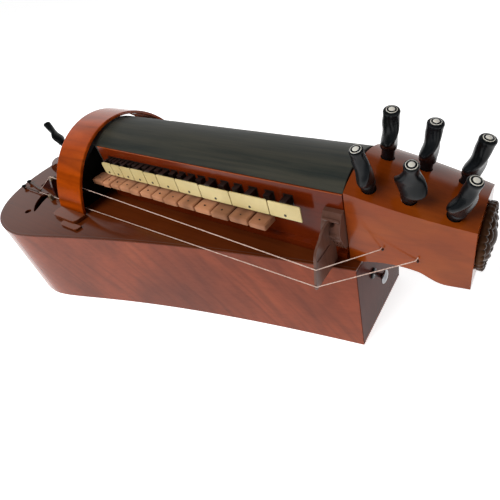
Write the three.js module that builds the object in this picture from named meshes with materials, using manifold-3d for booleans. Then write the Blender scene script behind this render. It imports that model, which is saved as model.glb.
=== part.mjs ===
// A hurdy-gurdy: a flat-backed, boat-shaped body that holds a cranked rosined wheel under an arched cover,
// a keybox with two rows of sliding keys, and a pegbox with six pegs.
// Millimetres, +Z up. X runs along the strings: x = 0 is the melody nut, -X is the crank end and +X the pegs.
// y = 0 is the centre plane, with the keys' buttons on the -Y side, and z = 0 is the flat underside.
import * as THREE from "three";
import { mergeVertices } from "three/addons/utils/BufferGeometryUtils.js";
import Module from "manifold-3d";

const GAP = 0.3; // clearance between pieces that touch

// Body
const BODY_HEIGHT = 98.6;
const PLATE = 3; // thickness of the soundboard and of the back
const RIB = 2.6; // thickness of the bent sides
const HEAD_X = 40.4; // the flat end below the pegbox
const HEAD_HALF_WIDTH = 47.2;
const BELLY_X = -338; // where the body is widest
const BELLY_HALF_WIDTH = 138.4;
const TAIL_X = -450;
const TAIL_ROUNDNESS = 0.627; // handle length of the tail's quarter curves, 0.552 for a true ellipse
const DECK = BODY_HEIGHT + GAP; // what stands on the soundboard starts here

// Strings and keys
const SCALE_LENGTH = 345; // from the nut to the melody bridge
const MELODY_Y = 5; // the two melody strings lie at +-MELODY_Y
const NUT_Z = 158.5;
const BRIDGE_Z = 161.3;
const DRONE_BRIDGE_X = -354; // tail side of the drone bridges
const TAILPIECE_X = -374; // front face of the tailpiece
const STRING_R = 0.6; // melody strings
const DRONE_R = 0.8;
const ACCIDENTALS = [1, 3, 6, 8, 11, 13, 15, 18, 20, 23]; // semitones above the open string
const NATURALS = [2, 4, 5, 7, 9, 10, 12, 14, 16, 17, 19, 21, 22];
const KEY_TRAVEL = 3;

// Keybox
const BOX_X0 = -270;
const BOX_X1 = 29.5;
const BOX_HALF = 36; // outer half-width
const BOX_WALL = 4;
const BOX_TOP = 161;
const SHANK_WIDEST = 6.5;
const SHANK_Z0 = 142;
const SHANK_Z1 = 150;
const SLOT_PLAY = 0.3; // around a shank in its slot
const LID_RISE = 13.5;
const LID_THICK = 3;
const LID_END_X = -284.5; // how far the fixed end of the lid reaches under the wheel cover
const LID_END_POST = 3; // its thickness along X

// Wheel and crank
const AXLE_Z = 84;
const AXLE_R = 5;
const WHEEL_R = 76;
const WHEEL_X0 = -304;
const WHEEL_X1 = -290;
const CRANK_X = -476; // outer face of the crank arm
const CRANK_THROW = 60;

// Wheel cover
const COVER_X0 = -321;
const COVER_X1 = -273.6;
const COVER_Z = 64.7; // centre of the half-ellipse
const COVER_HALF_WIDTH = 89;
const COVER_HALF_HEIGHT = 115.8;
const COVER_THICK = 3.5;

// Pegbox
const HEAD_X0 = 31;
const HEAD_X1 = 120.3;
const PEG_SHANK_R = 5.2;

const wasm = await Module();
wasm.setup();

// ---------------------------------------------------------------- solids

function toSolid(geometry) {
  const bare = geometry.clone();
  bare.deleteAttribute("normal");
  bare.deleteAttribute("uv");
  const merged = mergeVertices(bare, 1e-4);
  return new wasm.Manifold(
    new wasm.Mesh({
      numProp: 3,
      vertProperties: new Float32Array(merged.attributes.position.array),
      triVerts: new Uint32Array(merged.index.array),
    }),
  );
}

function toGeometry(solid) {
  const mesh = solid.getMesh();
  const geometry = new THREE.BufferGeometry();
  geometry.setAttribute("position", new THREE.BufferAttribute(mesh.vertProperties, 3));
  geometry.setIndex(new THREE.BufferAttribute(mesh.triVerts, 1));
  geometry.computeVertexNormals();
  return geometry;
}

function join(...geometries) {
  return toGeometry(geometries.map(toSolid).reduce((sum, solid) => sum.add(solid)));
}

function cut(geometry, ...tools) {
  return toGeometry(tools.map(toSolid).reduce((rest, tool) => rest.subtract(tool), toSolid(geometry)));
}

function box([x0, x1], [y0, y1], [z0, z1]) {
  const geometry = new THREE.BoxGeometry(x1 - x0, y1 - y0, z1 - z0);
  return geometry.translate((x0 + x1) / 2, (y0 + y1) / 2, (z0 + z1) / 2);
}

// A cylinder between two points.
function rod(from, to, radius, sides = 16) {
  const axis = to.clone().sub(from);
  const upright = new THREE.Vector3(0, 1, 0);
  const turn = new THREE.Quaternion().setFromUnitVectors(upright, axis.clone().normalize());
  const middle = from.clone().add(to).multiplyScalar(0.5);
  const geometry = new THREE.CylinderGeometry(radius, radius, axis.length(), sides);
  return geometry.applyQuaternion(turn).translate(middle.x, middle.y, middle.z);
}

function rodX(x0, x1, y, z, radius, sides) {
  return rod(new THREE.Vector3(x0, y, z), new THREE.Vector3(x1, y, z), radius, sides);
}

function extrude(shape, depth, curveSegments = 8) {
  return new THREE.ExtrudeGeometry(shape, { depth, curveSegments, bevelEnabled: false });
}

// A shape drawn in X and Y, between two heights.
function extrudeZ(shape, z0, z1, curveSegments) {
  return extrude(shape, z1 - z0, curveSegments).translate(0, 0, z0);
}

// A shape drawn in Y and Z, between two stations along X.
function extrudeX(shape, x0, x1, curveSegments) {
  const turn = new THREE.Matrix4().makeBasis(
    new THREE.Vector3(0, 1, 0),
    new THREE.Vector3(0, 0, 1),
    new THREE.Vector3(1, 0, 0),
  );
  return extrude(shape, x1 - x0, curveSegments).applyMatrix4(turn).translate(x0, 0, 0);
}

// A shape drawn in X and Z, between two stations along Y.
function extrudeY(shape, y0, y1, curveSegments) {
  const turn = new THREE.Matrix4().makeRotationX(Math.PI / 2);
  return extrude(shape, y1 - y0, curveSegments).applyMatrix4(turn).translate(0, y1, 0);
}

function polygon(...points) {
  return new THREE.Shape(points.map(([u, v]) => new THREE.Vector2(u, v)));
}

// The skin over a row of closed rings with equal numbers of points, with a flat cap at each end.
function loft(rings) {
  const count = rings[0].length;
  const points = rings.flat();
  const faces = [];
  for (let ring = 0; ring + 1 < rings.length; ring++) {
    for (let i = 0; i < count; i++) {
      const a = ring * count + i;
      const b = ring * count + ((i + 1) % count);
      faces.push(a, b, b + count, a, b + count, a + count);
    }
  }
  const last = (rings.length - 1) * count;
  for (let i = 1; i + 1 < count; i++) {
    faces.push(0, i + 1, i);
    faces.push(last, last + i, last + i + 1);
  }
  const geometry = new THREE.BufferGeometry().setFromPoints(points);
  geometry.setIndex(faces);
  geometry.computeVertexNormals();
  return geometry;
}

// A string as a round tube through its touching points, mitred where it bends.
function stringTube(route, radius, sides = 6) {
  const rings = route.map((point, i) => {
    const before = route[Math.max(i - 1, 0)];
    const after = route[Math.min(i + 1, route.length - 1)];
    const along = after.clone().sub(before).normalize();
    const across = new THREE.Vector3(0, 1, 0).cross(along).normalize();
    const up = along.clone().cross(across);
    return Array.from({ length: sides }, (_, k) => {
      const angle = (2 * Math.PI * k) / sides;
      const spoke = across.clone().multiplyScalar(Math.cos(angle)).addScaledVector(up, Math.sin(angle));
      return spoke.multiplyScalar(radius).add(point);
    });
  });
  return loft(rings);
}

// ---------------------------------------------------------------- scene graph

const instrument = new THREE.Group();

function finish(color, roughness, metalness = 0) {
  return new THREE.MeshStandardMaterial({ color, roughness, metalness });
}

const varnishedSide = finish(0x96583f, 0.2);
const varnishedTop = finish(0x6b3a26, 0.2);
const orangeVarnish = finish(0xb4621c, 0.2);
const darkWood = finish(0x4a3228, 0.4);
const ebony = finish(0x23282a, 0.3);
const blackLacquer = finish(0x343836, 0.4);
const bone = finish(0xe8dca4, 0.35);
const keyWood = finish(0x96694f, 0.5);
const plainWood = finish(0xb08a5c, 0.6);
const steel = finish(0x9a9c9c, 0.3, 1);
const gut = finish(0xd8c0aa, 0.4);

function add(name, geometry, material, parent = instrument) {
  const mesh = new THREE.Mesh(geometry, material);
  mesh.name = name;
  parent.add(mesh);
  return mesh;
}

function group(x = 0, y = 0, z = 0) {
  const made = new THREE.Group();
  made.position.set(x, y, z);
  instrument.add(made);
  return made;
}

// ---------------------------------------------------------------- body

// The near half of the outline from the head end to the tail's middle: a long flare and a rounded quarter.
function nearHalf() {
  const path = new THREE.Path();
  const tailDepth = BELLY_X - TAIL_X;
  path.moveTo(HEAD_X, -HEAD_HALF_WIDTH);
  path.bezierCurveTo(-224, -92.8, BELLY_X + 35, -BELLY_HALF_WIDTH, BELLY_X, -BELLY_HALF_WIDTH);
  path.bezierCurveTo(
    BELLY_X - TAIL_ROUNDNESS * tailDepth,
    -BELLY_HALF_WIDTH,
    TAIL_X,
    -TAIL_ROUNDNESS * BELLY_HALF_WIDTH,
    TAIL_X,
    0,
  );
  return path.getPoints(9);
}

// The open outline from the near head corner round the tail to the far one, moved inwards by a distance.
function outline(inset = 0) {
  const near = nearHalf();
  const far = near.slice(0, -1).reverse().map((p) => new THREE.Vector2(p.x, -p.y));
  const whole = [...near, ...far];
  return whole.map((point, i) => {
    const before = whole[Math.max(i - 1, 0)];
    const after = whole[Math.min(i + 1, whole.length - 1)];
    const along = after.clone().sub(before).normalize();
    return new THREE.Vector2(point.x + along.y * inset, point.y - along.x * inset);
  });
}

// A point on the outline slid along X to a given station, so that a cut across the body is square.
function endAt(points, x) {
  const ends = [points[0], points[points.length - 1]];
  ends.forEach((end) => end.setX(x));
  return points;
}

// A sound hole on one side: a comma-shaped slit.
function soundHole(side) {
  const slit = new THREE.Shape();
  slit.moveTo(-377, side * 76);
  slit.quadraticCurveTo(-373, side * 71, -368.5, side * 76);
  slit.quadraticCurveTo(-366, side * 80, -363, side * 87);
  slit.quadraticCurveTo(-359, side * 95, -351, side * 102);
  slit.quadraticCurveTo(-362, side * 98, -367, side * 90);
  slit.quadraticCurveTo(-371, side * 84, -377, side * 76);
  return slit;
}

function buildBody() {
  const boardShape = new THREE.Shape(endAt(outline(), HEAD_X));
  const board = extrudeZ(boardShape, BODY_HEIGHT - PLATE, BODY_HEIGHT);
  const wheelSlot = box([WHEEL_X0 - 2, WHEEL_X1 + 2], [-79, 79], [BODY_HEIGHT - 9, BODY_HEIGHT + 9]);
  const soundHoles = [-1, 1].map((side) => extrudeZ(soundHole(side), BODY_HEIGHT - 9, BODY_HEIGHT + 9, 3));
  add("soundboard", cut(board, wheelSlot, ...soundHoles), varnishedTop);

  const backShape = new THREE.Shape(endAt(outline(), HEAD_X));
  add("back_plate", extrudeZ(backShape, 0, PLATE), varnishedSide);

  const ribEnd = HEAD_X - PLATE - GAP;
  const ribZ = [PLATE + GAP, BODY_HEIGHT - PLATE - GAP];
  const ribShape = new THREE.Shape([
    ...endAt(outline(), ribEnd),
    ...endAt(outline(RIB), ribEnd).reverse(),
  ]);
  const axleHole = rodX(TAIL_X - 5, TAIL_X + 10, 0, AXLE_Z, AXLE_R + 1);
  add("side_ribs", cut(extrudeZ(ribShape, ...ribZ), axleHole), varnishedSide);

  const endHalf = HEAD_HALF_WIDTH - 0.6;
  add("head_plate", box([HEAD_X - PLATE, HEAD_X], [-endHalf, endHalf], ribZ), darkWood);
}

// Tail block and cross brace with the two axle bearings, tied by rails under the wheel.
function buildAxleFrame() {
  const [z0, z1] = [PLATE + GAP, BODY_HEIGHT - PLATE - GAP];
  const tailBlock = box([TAIL_X + 7.5, TAIL_X + 30], [-44, 44], [z0, z1]);
  const brace = box([-282, -270], [-80, 80], [z0, z1]);
  const rails = [-1, 1].map((side) => {
    const inner = Math.min(side * 34, side * 44);
    return box([TAIL_X + 29, -281], [inner, inner + 10], [z0, 12]);
  });
  const bore = rodX(TAIL_X, -260, 0, AXLE_Z, AXLE_R + GAP);
  add("axle_frame", cut(join(tailBlock, brace, ...rails), bore), plainWood);
}

// ---------------------------------------------------------------- wheel and crank

function ringShape(outer, inner) {
  const shape = new THREE.Shape();
  shape.absarc(0, 0, outer, 0, 2 * Math.PI);
  const hole = new THREE.Path();
  hole.absarc(0, 0, inner, 0, 2 * Math.PI);
  shape.holes.push(hole);
  return shape;
}

// The crank's arm as a flat S-shaped bar from the axle (0, 0) down to the handle pin.
function crankArmShape() {
  const top = 9;
  const low = 7;
  const shape = new THREE.Shape();
  shape.moveTo(top, 0);
  shape.absarc(0, 0, top, 0, Math.PI);
  shape.bezierCurveTo(-13, -16, -13, -26, 0, -32);
  shape.bezierCurveTo(4, -38, 2, -48, -low, -CRANK_THROW);
  shape.absarc(0, -CRANK_THROW, low, Math.PI, 2 * Math.PI);
  shape.bezierCurveTo(13, -46, 13, -34, 3, -27);
  shape.bezierCurveTo(-5, -22, -1, -14, top, 0);
  return shape;
}

function buildWheelwork() {
  const axleGroup = group(0, 0, AXLE_Z);
  const wheel = extrudeX(ringShape(WHEEL_R, AXLE_R + GAP), WHEEL_X0, WHEEL_X1, 24);
  add("wheel", wheel, darkWood, axleGroup);

  const pinX = CRANK_X - 58;
  const axle = rodX(CRANK_X - 3, -266, 0, 0, AXLE_R);
  const arm = extrudeX(crankArmShape(), CRANK_X, CRANK_X + 6, 6);
  const pin = rodX(pinX, CRANK_X + 1, 0, -CRANK_THROW, 3);
  const pinHead = rodX(pinX - 2, pinX, 0, -CRANK_THROW, 5);
  add("crankshaft", join(axle, arm, pin, pinHead), steel, axleGroup);

  const handleLength = 57;
  const bore = 3 + GAP;
  const profile = [
    [bore, 0],
    [7.5, 0],
    [8, 4],
    [6.2, 9],
    [9.5, 22],
    [11.5, 36],
    [10.5, 46],
    [7, 53],
    [bore, handleLength],
    [bore, 0],
  ].map(([radius, along]) => new THREE.Vector2(radius, along));
  const handle = add("crank_handle", new THREE.LatheGeometry(profile, 20), ebony, axleGroup);
  handle.position.set(CRANK_X - GAP, 0, -CRANK_THROW);
  handle.rotation.z = Math.PI / 2;
}

// ---------------------------------------------------------------- wheel cover

function buildCover() {
  const startAngle = Math.asin((DECK + 0.2 - COVER_Z) / COVER_HALF_HEIGHT);
  const strip = new THREE.Shape();
  const inner = [COVER_HALF_WIDTH - COVER_THICK, COVER_HALF_HEIGHT - COVER_THICK];
  const innerStart = Math.asin((DECK + 0.2 - COVER_Z) / inner[1]);
  strip.absellipse(0, COVER_Z, COVER_HALF_WIDTH, COVER_HALF_HEIGHT, startAngle, Math.PI - startAngle);
  strip.absellipse(0, COVER_Z, ...inner, Math.PI - innerStart, innerStart, true);
  add("wheel_cover", extrudeX(strip, COVER_X0, COVER_X1, 30), orangeVarnish);

  for (const [name, side] of [["cover_foot_near", -1], ["cover_foot_far", 1]]) {
    const step = polygon(
      [side * 85.7, DECK],
      [side * 85.1, 103.4],
      [side * 93, 103],
      [side * 98.6, 101.6],
      [side * 100, DECK],
    );
    const toe = polygon([side * 98, DECK], [side * 98, 101.2], [side * 104.5, 100.8], [side * 107, DECK]);
    add(name, join(extrudeX(step, -316, -268), extrudeX(toe, -289, -256)), orangeVarnish);
  }
}

// ---------------------------------------------------------------- bridges, nuts and tailpiece

function buildBridges() {
  const top = BRIDGE_Z - STRING_R - GAP;
  const bridge = new THREE.Shape();
  bridge.moveTo(-30, DECK);
  bridge.lineTo(-18, DECK);
  bridge.quadraticCurveTo(-14, 118, 0, 118);
  bridge.quadraticCurveTo(14, 118, 18, DECK);
  bridge.lineTo(30, DECK);
  bridge.quadraticCurveTo(29, 125, 14, 140);
  bridge.lineTo(11, top);
  bridge.lineTo(-11, top);
  bridge.lineTo(-14, 140);
  bridge.quadraticCurveTo(-29, 125, -30, DECK);
  add("melody_bridge", extrudeX(bridge, -349, -341, 6), plainWood);

  const nutTop = NUT_Z - STRING_R - GAP;
  const nutHalf = BOX_HALF - BOX_WALL - GAP;
  const block = box([-1, 6], [-nutHalf, nutHalf], [DECK, 140]);
  const blade = box([-1, 2.5], [-14, 14], [139, nutTop]);
  add("melody_nut", join(block, blade), bone);

  const side = new THREE.Shape();
  side.moveTo(TAILPIECE_X, DECK);
  side.lineTo(TAILPIECE_X, 128);
  side.quadraticCurveTo(-400, 124.5, -412, 120);
  side.quadraticCurveTo(-436, 109, -443, DECK);
  add("tailpiece", cut(extrudeY(side, -28, 28, 5), tirantPeg.hole()), varnishedTop);
}

// Bridges for the two drone strings on each side of the melody strings, with a sloping buttress behind each.
function buildDroneBridges() {
  for (const [name, side] of [["drone_bridge_near", -1], ["drone_bridge_far", 1]]) {
    const plate = polygon(
      [side * 58, DECK],
      [side * 60, 121],
      [side * 62.5, 123.4],
      [side * 68, 123.4],
      [side * 71, 112],
      [side * 72.5, 100.3],
      [side * 79, 100.3],
      [side * 80, DECK],
    );
    const buttress = polygon(
      [DRONE_BRIDGE_X + 2, DECK],
      [DRONE_BRIDGE_X + 2, 121],
      [DRONE_BRIDGE_X - 4, 121],
      [DRONE_BRIDGE_X - 47, 101],
      [DRONE_BRIDGE_X - 49, DECK],
    );
    const across = side > 0 ? [58, 64.2] : [-64.2, -58];
    const upright = extrudeX(plate, DRONE_BRIDGE_X, DRONE_BRIDGE_X + 4);
    add(name, join(upright, extrudeY(buttress, ...across)), darkWood);
  }
}

// Carved brackets beside the nut, with a fin that carries the drone strings out past the body's edge.
function buildDroneNuts() {
  for (const [name, side] of [["drone_nut_near", -1], ["drone_nut_far", 1]]) {
    const inner = side * (BOX_HALF + GAP);
    const block = polygon(
      [inner, 112],
      [side * 40, 112],
      [side * 46, 124],
      [side * 48.5, 131],
      [side * 44, 143.5],
      [side * 39.5, 148],
      [inner, 148],
    );
    const fin = polygon(
      [side * 41, DECK],
      [side * FIN_Y[0], DECK],
      [side * FIN_Y[1], 124.6],
      [side * 68, 132.5],
      [side * 62, 136],
      [side * 57.5, 140],
      [side * 50, 142.5],
      [side * 41, 142.5],
    );
    add(name, join(extrudeX(block, 14, 30.4), extrudeX(fin, FIN_X - 2.4, FIN_X)), darkWood);
  }
}

// ---------------------------------------------------------------- keybox

function keyX(semitone) {
  return -SCALE_LENGTH * (1 - 2 ** (-semitone / 12));
}

function keyName(semitone) {
  return `key_${String(semitone).padStart(2, "0")}`;
}

// The shanks of the highest keys are narrower, since those keys lie closest together.
function shankHalf(semitone) {
  const spacing = keyX(semitone) - keyX(semitone + 1);
  return Math.min(SHANK_WIDEST, 0.7 * spacing) / 2;
}

function slotTool(semitone) {
  const half = shankHalf(semitone) + SLOT_PLAY;
  const x = keyX(semitone);
  return box([x - half, x + half], [-60, 60], [SHANK_Z0 - SLOT_PLAY, SHANK_Z1 + SLOT_PLAY]);
}

function buildKeybox() {
  const slots = [...ACCIDENTALS, ...NATURALS].map(slotTool);
  for (const [name, side] of [["keybox_front_wall", -1], ["keybox_rear_wall", 1]]) {
    const section = polygon(
      [side * (BOX_HALF - BOX_WALL), DECK],
      [side * (BOX_HALF - BOX_WALL), BOX_TOP],
      [side * BOX_HALF, BOX_TOP],
      [side * BOX_HALF, 107],
      [side * (BOX_HALF + 3.5), 105.6],
      [side * (BOX_HALF + 3.5), DECK],
    );
    add(name, cut(extrudeX(section, BOX_X0, BOX_X1), ...slots), varnishedTop);
  }

  const arch = (halfWidth, rise, shape, clockwise) => {
    const radius = (halfWidth ** 2 + rise ** 2) / (2 * rise);
    const reach = Math.asin(halfWidth / radius);
    const centreZ = BOX_TOP + GAP + rise - radius;
    const [from, to] = [Math.PI / 2 - reach, Math.PI / 2 + reach];
    shape.absarc(0, centreZ, radius, clockwise ? to : from, clockwise ? from : to, clockwise);
  };
  const lidSection = new THREE.Shape();
  arch(BOX_HALF + 0.4, LID_RISE, lidSection, false);
  arch(BOX_HALF - LID_THICK - 1, LID_RISE - LID_THICK, lidSection, true);
  add("lid", extrudeX(lidSection, BOX_X0, BOX_X1, 7), blackLacquer);

  // The lid's fixed end under the wheel cover stands on a frame that the melody strings pass through.
  const frameX = [BOX_X0 - GAP - LID_END_POST, BOX_X0 - GAP];
  const frame = polygon(
    [-BOX_HALF, DECK],
    [BOX_HALF, DECK],
    [BOX_HALF, BOX_TOP + GAP],
    [BOX_HALF - 4.5, BOX_TOP + 2.5],
    [BOX_HALF - 5, 110],
    [5 - BOX_HALF, 110],
    [4.5 - BOX_HALF, BOX_TOP + 2.5],
    [-BOX_HALF, BOX_TOP + GAP],
  );
  const overhang = extrudeX(lidSection, LID_END_X, frameX[1], 7);
  add("lid_end", join(overhang, extrudeX(frame, ...frameX)), blackLacquer);
}

// ---------------------------------------------------------------- keys

const KEY_BACK_Y = BOX_HALF + 2.5; // where a shank ends behind the rear wall
const RISER_Y = [-41.5, -39.5]; // upright part of a key in front of the front wall
const PLATE_Y = [-46.1, -44.9]; // bone facing of an accidental key
const PLATE_Z = [134, 149.3];
const BUTTON_Y = [-56.2, -40.2];
const BUTTON_Z = [122.3, 129.6];
const BUTTON_EDGES = [-34, -53, -75, -96, -117, -139, -159, -177, -195, -211, -229, -245, -258, -278];
const HIGH_WEB_KEY = 22; // its web passes over that of the key beside it

// Shank with its two tangents, which stop the melody strings when the key is pushed in.
function shankWithTangents(semitone, frontY) {
  const x = keyX(semitone);
  const half = shankHalf(semitone);
  const shank = box([x - half, x + half], [frontY, KEY_BACK_Y], [SHANK_Z0, SHANK_Z1]);
  const tangents = [-MELODY_Y, MELODY_Y].map((stringY) => {
    const face = stringY - STRING_R - KEY_TRAVEL - GAP;
    return box([x - 1.8, x + 1.8], [face - 1.6, face], [SHANK_Z1 - 1, 164]);
  });
  return [shank, ...tangents];
}

// A bone plate reaches from a point between this accidental and the next higher one to the next lower one.
function accidentalEdges(i) {
  const offset = 3;
  const middle = (a, b) => (keyX(ACCIDENTALS[a]) + keyX(ACCIDENTALS[b])) / 2 + offset;
  const right = i === 0 ? -2.2 : middle(i - 1, i);
  const left = i === ACCIDENTALS.length - 1 ? -258.5 : middle(i, i + 1);
  return [left + 0.25, right - 0.25];
}

function buildAccidental(semitone, i) {
  const facing = box(accidentalEdges(i), PLATE_Y, PLATE_Z);
  add(keyName(semitone), join(...shankWithTangents(semitone, PLATE_Y[1] - 0.2), facing), ebony);
}

// A natural key: button, a foot at the part of the button nearest the shank, a web across and a riser up.
function buildNatural(semitone, i) {
  const x = keyX(semitone);
  const half = shankHalf(semitone);
  const [left, right] = [BUTTON_EDGES[i + 1] + 0.4, BUTTON_EDGES[i] - 0.4];
  const webZ = semitone === HIGH_WEB_KEY ? 135.4 : BUTTON_Z[1] + 0.6;
  const footX = THREE.MathUtils.clamp(x, left + half, right - half);
  const foot = box([footX - half, footX + half], RISER_Y, [BUTTON_Z[0], webZ + 1]);
  const web = box([Math.min(x, footX) - half, Math.max(x, footX) + half], RISER_Y, [webZ, webZ + 3.6]);
  const riser = box([x - half, x + half], RISER_Y, [webZ, SHANK_Z1]);
  const button = box([left, right], BUTTON_Y, BUTTON_Z);
  add(keyName(semitone), join(...shankWithTangents(semitone, RISER_Y[0]), riser, web, foot, button), keyWood);
}

function buildKeys() {
  ACCIDENTALS.forEach(buildAccidental);
  NATURALS.forEach(buildNatural);
}

// ---------------------------------------------------------------- points on the strings' routes

// The two drone courses on each side: places low over the soundboard at the tail, the touching point on the
// bridge, the height at the nut and the hole in the pegbox's cheek.
const HIGH = {
  tail: [
    [-429, 65],
    [-390, 71.5],
  ],
  bridge: [65.4, 124.4],
  finZ: 118,
  cheek: [57, 37.5, 118],
};
const LOW = {
  tail: [[-424, 75]],
  bridge: [75.5, 101.6],
  finZ: 103,
  cheek: [83, 35.6, 114],
};

function nutPoint(side) {
  return new THREE.Vector3(2.9, side * MELODY_Y, NUT_Z);
}

function headPoint(side) {
  return new THREE.Vector3(HEAD_X0 + 7.5, side * 6.4, 144);
}

function finPoint(side, course) {
  const edge = THREE.MathUtils.mapLinear(course.finZ, DECK, 124.6, ...FIN_Y);
  return new THREE.Vector3(FIN_X + GAP, side * (edge + DRONE_R + GAP), course.finZ);
}

function cheekPoint(side, course) {
  const [x, y, z] = course.cheek;
  return new THREE.Vector3(x, side * y, z);
}

// ---------------------------------------------------------------- pegbox and pegs

const FIN_X = 22; // where the drone strings turn over the drone nuts
const FIN_Y = [77.5, 72]; // outer edge of the drone nuts, low and high
const HEAD_Z = [164, 146]; // top edges of the pegbox at its two ends
const HEAD_HALF = [36.9, 29.1];
const HEAD_RISE = [9.1, 5.6];

function lerp([a, b], t) {
  return a + (b - a) * t;
}

// Underside of the pegbox: a shallow arch, then a step down to the end.
function undersideZ(x) {
  const arch = DECK + 5 * Math.sin((Math.PI * Math.max(x - HEAD_X, 0)) / 55);
  const step = THREE.MathUtils.smoothstep(x, 84, 106);
  return THREE.MathUtils.lerp(arch, 93, step);
}

// Height of the pegbox's barrel top.
function topZ(x, y) {
  const t = (x - HEAD_X0) / (HEAD_X1 - HEAD_X0);
  const half = lerp(HEAD_HALF, t) + 2 * Math.sin(Math.PI * t);
  const rise = lerp(HEAD_RISE, t);
  const radius = (half ** 2 + rise ** 2) / (2 * rise);
  return lerp(HEAD_Z, t) + rise - radius + Math.sqrt(radius ** 2 - y ** 2);
}

function headSection(x) {
  const t = (x - HEAD_X0) / (HEAD_X1 - HEAD_X0);
  const half = lerp(HEAD_HALF, t) + 2 * Math.sin(Math.PI * t);
  const arc = Array.from({ length: 9 }, (_, i) => {
    const y = half * Math.sin((Math.PI / 2) * (1 - i / 4));
    return new THREE.Vector3(x, y, topZ(x, y));
  });
  const low = undersideZ(x);
  return [new THREE.Vector3(x, -half, low), new THREE.Vector3(x, half, low), ...arc];
}

// A peg's head from its collar up: height over the collar, half-width, half-thickness and twist.
const PEG_SECTIONS = [
  [0, PEG_SHANK_R, PEG_SHANK_R, 0],
  [0.6, 6.2, 6.2, 0],
  [2.6, 6.2, 6.2, 0],
  [3.2, 7, 6.4, 0],
  [6, 9, 6.4, 0],
  [11, 12.4, 6, 0.15],
  [16, 11.6, 5.6, 0.45],
  [22, 8.2, 5.8, 0.85],
  [28, 7, 6.2, 1.1],
  [32, 6.8, 6.6, 1.2],
  [34, 5.8, 5.8, 1.2],
];

function ellipseRing(height, a, b, twist, sides = 12) {
  return Array.from({ length: sides }, (_, i) => {
    const angle = (2 * Math.PI * i) / sides;
    const [u, v] = [a * Math.cos(angle), b * Math.sin(angle)];
    return new THREE.Vector3(
      u * Math.cos(twist) - v * Math.sin(twist),
      u * Math.sin(twist) + v * Math.cos(twist),
      height,
    );
  });
}

// A tapered peg: foot is where its axis leaves the wood, neck the bare shank between there and its collar.
class Peg {
  constructor(name, foot, lean, { shank = 42, neck = 5, size = 1, turn = 0 }) {
    this.name = name;
    this.foot = new THREE.Vector3(...foot);
    this.axis = new THREE.Vector3(...lean).normalize();
    this.shank = shank;
    this.neck = neck;
    this.size = size;
    this.turn = turn;
  }

  at(height) {
    return this.foot.clone().addScaledVector(this.axis, height);
  }

  hole() {
    return rod(this.at(-this.shank - 1), this.at(20), PEG_SHANK_R * this.size + GAP, 16);
  }

  build() {
    const tip = ellipseRing(-this.shank, PEG_SHANK_R, PEG_SHANK_R, 0);
    const head = PEG_SECTIONS.map(([height, ...section]) => ellipseRing(height + this.neck, ...section));
    const geometry = loft([tip, ...head]);
    geometry.scale(this.size, this.size, 1);
    const mesh = add(this.name, geometry, ebony);
    mesh.position.copy(this.foot);
    mesh.quaternion.setFromUnitVectors(new THREE.Vector3(0, 0, 1), this.axis);
    mesh.quaternion.multiply(new THREE.Quaternion().setFromAxisAngle(new THREE.Vector3(0, 0, 1), this.turn));
  }
}

const tirantPeg = new Peg("tirant_peg", [-388, -14.8, 126.6], [-0.67, 0.1, 0.74], {
  shank: 12,
  neck: 14,
  size: 0.75,
  turn: 1.97,
});

function headPeg(name, x, y, lean, options) {
  return new Peg(name, [x, y, topZ(x, y)], lean, options);
}

const pegs = [
  headPeg("peg_near_1", 46.5, -26.8, [-0.047, -0.282, 0.958], { turn: -1.35 }),
  headPeg("peg_near_2", 74.6, -23.6, [0.138, -0.315, 0.939], { neck: 4, turn: -0.5 }),
  headPeg("peg_near_3", 104.6, -22.6, [0.305, -0.219, 0.927], { shank: 36, neck: 4, turn: 0.9 }),
  headPeg("peg_far_1", 46.7, 10.7, [0.167, -0.196, 0.966], { neck: 11, turn: -1.45 }),
  headPeg("peg_far_2", 74.3, 14, [0.183, -0.13, 0.974], { neck: 8, turn: 1.35 }),
  headPeg("peg_far_3", 103.5, 14, [0.275, -0.108, 0.955], { shank: 36, neck: 7, turn: 1.1 }),
];

function buildPegbox() {
  const stations = Array.from({ length: 15 }, (_, i) => lerp([HEAD_X0, HEAD_X1], i / 14));
  const block = loft(stations.map(headSection));
  const cavity = box([HEAD_X0 + 6, HEAD_X1 - 8], [-24, 24], [80, 136]);
  const upperCavity = box([HEAD_X0 + 6, 80], [-24, 24], [130, 148]);
  const stringHoles = [-1, 1].flatMap((side) => {
    const [, highPeg, lowPeg] = side < 0 ? pegs.slice(0, 3) : pegs.slice(3);
    return [
      rod(nutPoint(side), headPoint(side), 1.8, 8),
      rod(cheekPoint(side, HIGH), endOnPeg(highPeg, 131, cheekPoint(side, HIGH)), 1.8, 8),
      rod(cheekPoint(side, LOW), endOnPeg(lowPeg, 131, cheekPoint(side, LOW)), 1.8, 8),
    ];
  });
  const pegHoles = pegs.map((peg) => peg.hole());
  add("pegbox", cut(block, cavity, upperCavity, ...stringHoles, ...pegHoles), orangeVarnish);
  pegs.forEach((peg) => peg.build());
  tirantPeg.build();

  const rosette = new THREE.LatheGeometry(
    [
      [0, 0],
      [25, 0],
      [26.2, 2],
      [25, 5],
      [21, 6.5],
      [17, 4.5],
      [9, 5],
      [6, 8],
      [0, 9],
    ].map(([radius, along]) => new THREE.Vector2(radius, along)),
    24,
  );
  const disc = add("rosette", rosette, darkWood);
  disc.position.set(HEAD_X1 + GAP, 0, 121);
  disc.rotation.z = -Math.PI / 2;
}

// ---------------------------------------------------------------- strings

// The last point of a string: on the near side of its peg's shank, a hair off the wood.
function endOnPeg(peg, z, from) {
  const centre = peg.at((z - peg.foot.z) / peg.axis.z);
  const away = from.clone().sub(centre).setZ(0).normalize();
  return centre.addScaledVector(away, PEG_SHANK_R + STRING_R + 1);
}

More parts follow.
